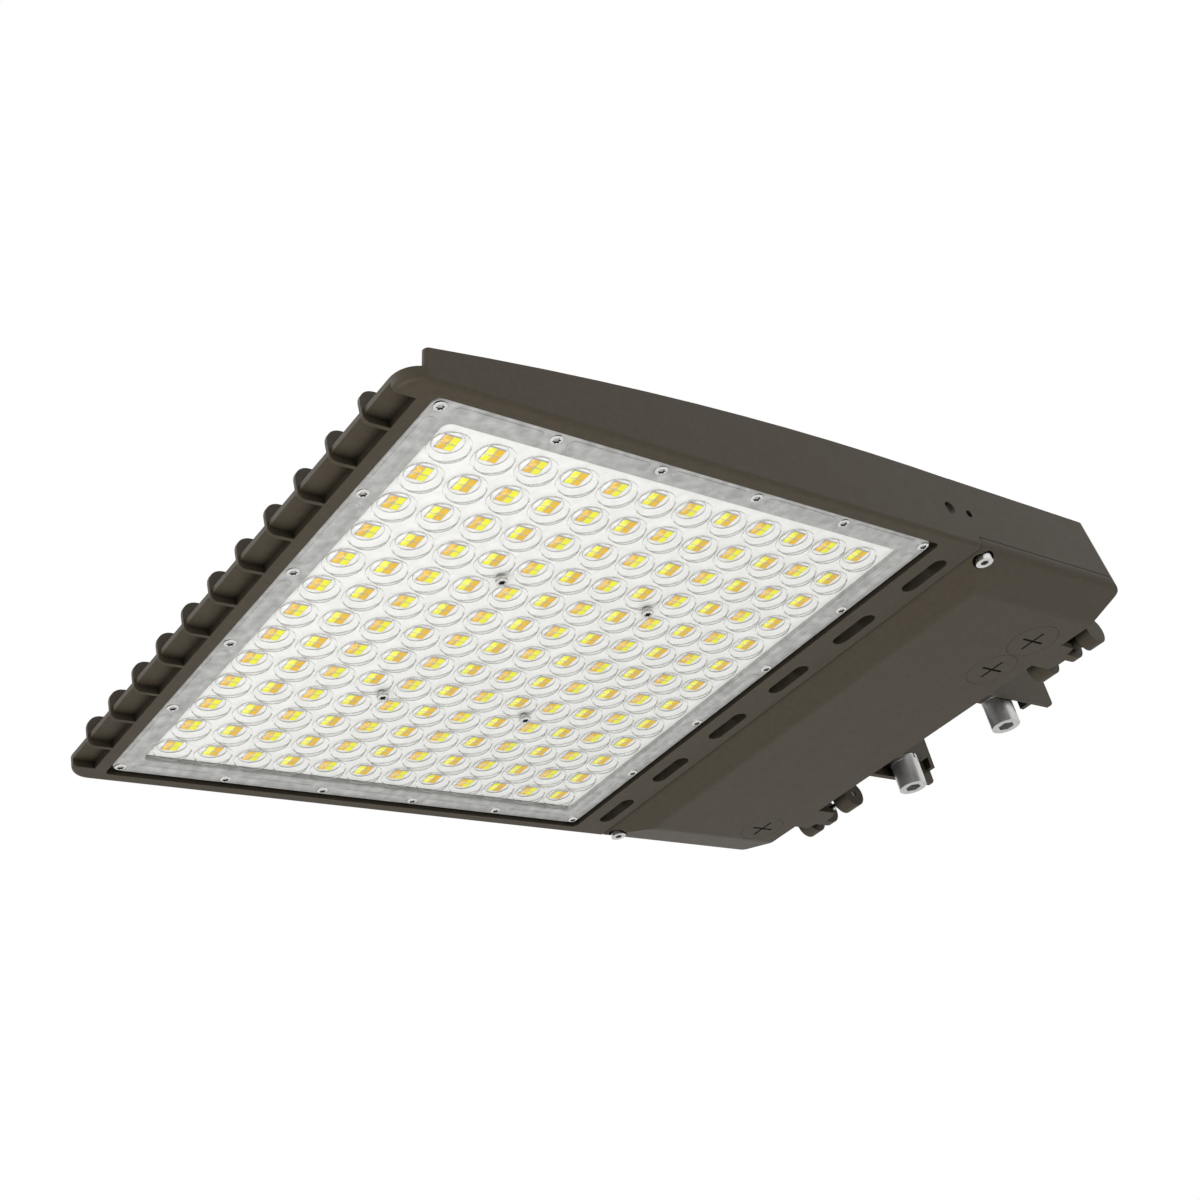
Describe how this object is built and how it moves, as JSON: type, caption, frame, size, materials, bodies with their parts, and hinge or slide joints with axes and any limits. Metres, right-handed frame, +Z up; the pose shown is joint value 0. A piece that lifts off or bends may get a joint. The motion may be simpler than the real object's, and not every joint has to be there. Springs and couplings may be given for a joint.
{
  "type": "shoebox area light",
  "caption": "Flat finned area light head with a grid of domed lenses, a hinged driver cover with round port plugs and a two-bolt arm mount.",
  "frame": {"origin": "on the clamping face of the two bolt bosses, half way between the arm bolts", "axes": "+Z up, the light shines along -Z; +Y towards the arm and the pole, the finned front end is at -Y; +X is the side with the two large ports"},
  "size_m": [0.3364, 0.5577, 0.0588],
  "materials": {
    "bronze_paint": "fine textured powder coat, dark bronze",
    "clear_lens": "clear moulded polycarbonate, gloss",
    "white_board": "white solder mask",
    "amber_phosphor": "amber phosphor in clear silicone",
    "pale_phosphor": "pale yellow phosphor in clear silicone",
    "grey_rubber": "matt silicone rubber",
    "black_rubber": "matt rubber",
    "stainless": "turned stainless steel",
    "zinc_steel": "bright zinc plate",
    "green_board": "green solder mask",
    "black_plastic": "moulded nylon",
    "white_plastic": "moulded nylon",
    "driver_case": "drawn aluminium case",
    "lead_insulation": "PVC insulation",
    "brass_ring": "tinned brass"
  },
  "bodies": {
    "head": {"housing": "bronze_paint", "lens_plate": "clear_lens", "lens_gasket": "grey_rubber", "led_board": "white_board", "warm_leds": "amber_phosphor", "cool_leds": "pale_phosphor", "lens_screws": "stainless", "hinge_pin_left": "stainless", "hinge_pin_right": "stainless", "led_driver": "driver_case", "driver_screws": "zinc_steel", "surge_protector": "black_plastic", "terminal_block": "white_plastic", "input_leads": "lead_insulation", "ground_screw": "zinc_steel", "ground_lead": "brass_ring", "led_leads": "lead_insulation", "led_grommet": "black_rubber", "supply_grommet": "black_rubber", "mount_bolts": "stainless", "lock_washers": "stainless"},
    "cover": {"driver_cover": "bronze_paint", "cover_gasket": "black_rubber", "screw_retainers": "black_plastic", "port_seals": "black_rubber", "selector_board": "green_board", "selector_screws": "zinc_steel", "switch_cases": "black_plastic", "sensor_socket": "black_plastic"},
    "left_screw": {"captive_screw_left": "stainless"},
    "right_screw": {"captive_screw_right": "stainless"},
    "power_plug": {"power_port_plug": "bronze_paint"},
    "distribution_plug": {"distribution_port_plug": "bronze_paint"},
    "sensor_plug": {"sensor_port_plug": "bronze_paint"},
    "power_switch": {"power_slider": "white_plastic"},
    "cct_switch": {"cct_slider": "white_plastic"},
    "distribution_switch": {"distribution_slider": "white_plastic"}
  },
  "joints": [
    {"name": "cover_hinge", "type": "hinge", "parent": "head", "child": "cover", "pos_m": [0, -0.0106, -0.0055], "axis": [1, 0, 0], "range_deg": [0, 90]},
    {"name": "left_screw_turn", "type": "hinge", "parent": "cover", "child": "left_screw", "pos_m": [-0.1604, -0.154, -0.0041], "axis": [0, 0, 1], "continuous": true},
    {"name": "right_screw_turn", "type": "hinge", "parent": "cover", "child": "right_screw", "pos_m": [0.1604, -0.154, -0.0041], "axis": [0, 0, 1], "continuous": true},
    {"name": "power_plug_turn", "type": "hinge", "parent": "cover", "child": "power_plug", "pos_m": [0.1151, -0.0602, -0.0148], "axis": [0, 0, 1], "continuous": true},
    {"name": "distribution_plug_turn", "type": "hinge", "parent": "cover", "child": "distribution_plug", "pos_m": [0.0832, -0.0602, -0.0148], "axis": [0, 0, 1], "continuous": true},
    {"name": "sensor_plug_turn", "type": "hinge", "parent": "cover", "child": "sensor_plug", "pos_m": [-0.1234, -0.0602, -0.0148], "axis": [0, 0, 1], "continuous": true},
    {"name": "power_slide", "type": "slide", "parent": "cover", "child": "power_switch", "axis": [0, 1, 0], "range_m": [-0.002, 0.002]},
    {"name": "cct_slide", "type": "slide", "parent": "cover", "child": "cct_switch", "axis": [0, 1, 0], "range_m": [-0.002, 0.002]},
    {"name": "distribution_slide", "type": "slide", "parent": "cover", "child": "distribution_switch", "axis": [0, 1, 0], "range_m": [-0.002, 0.002]}
  ]
}
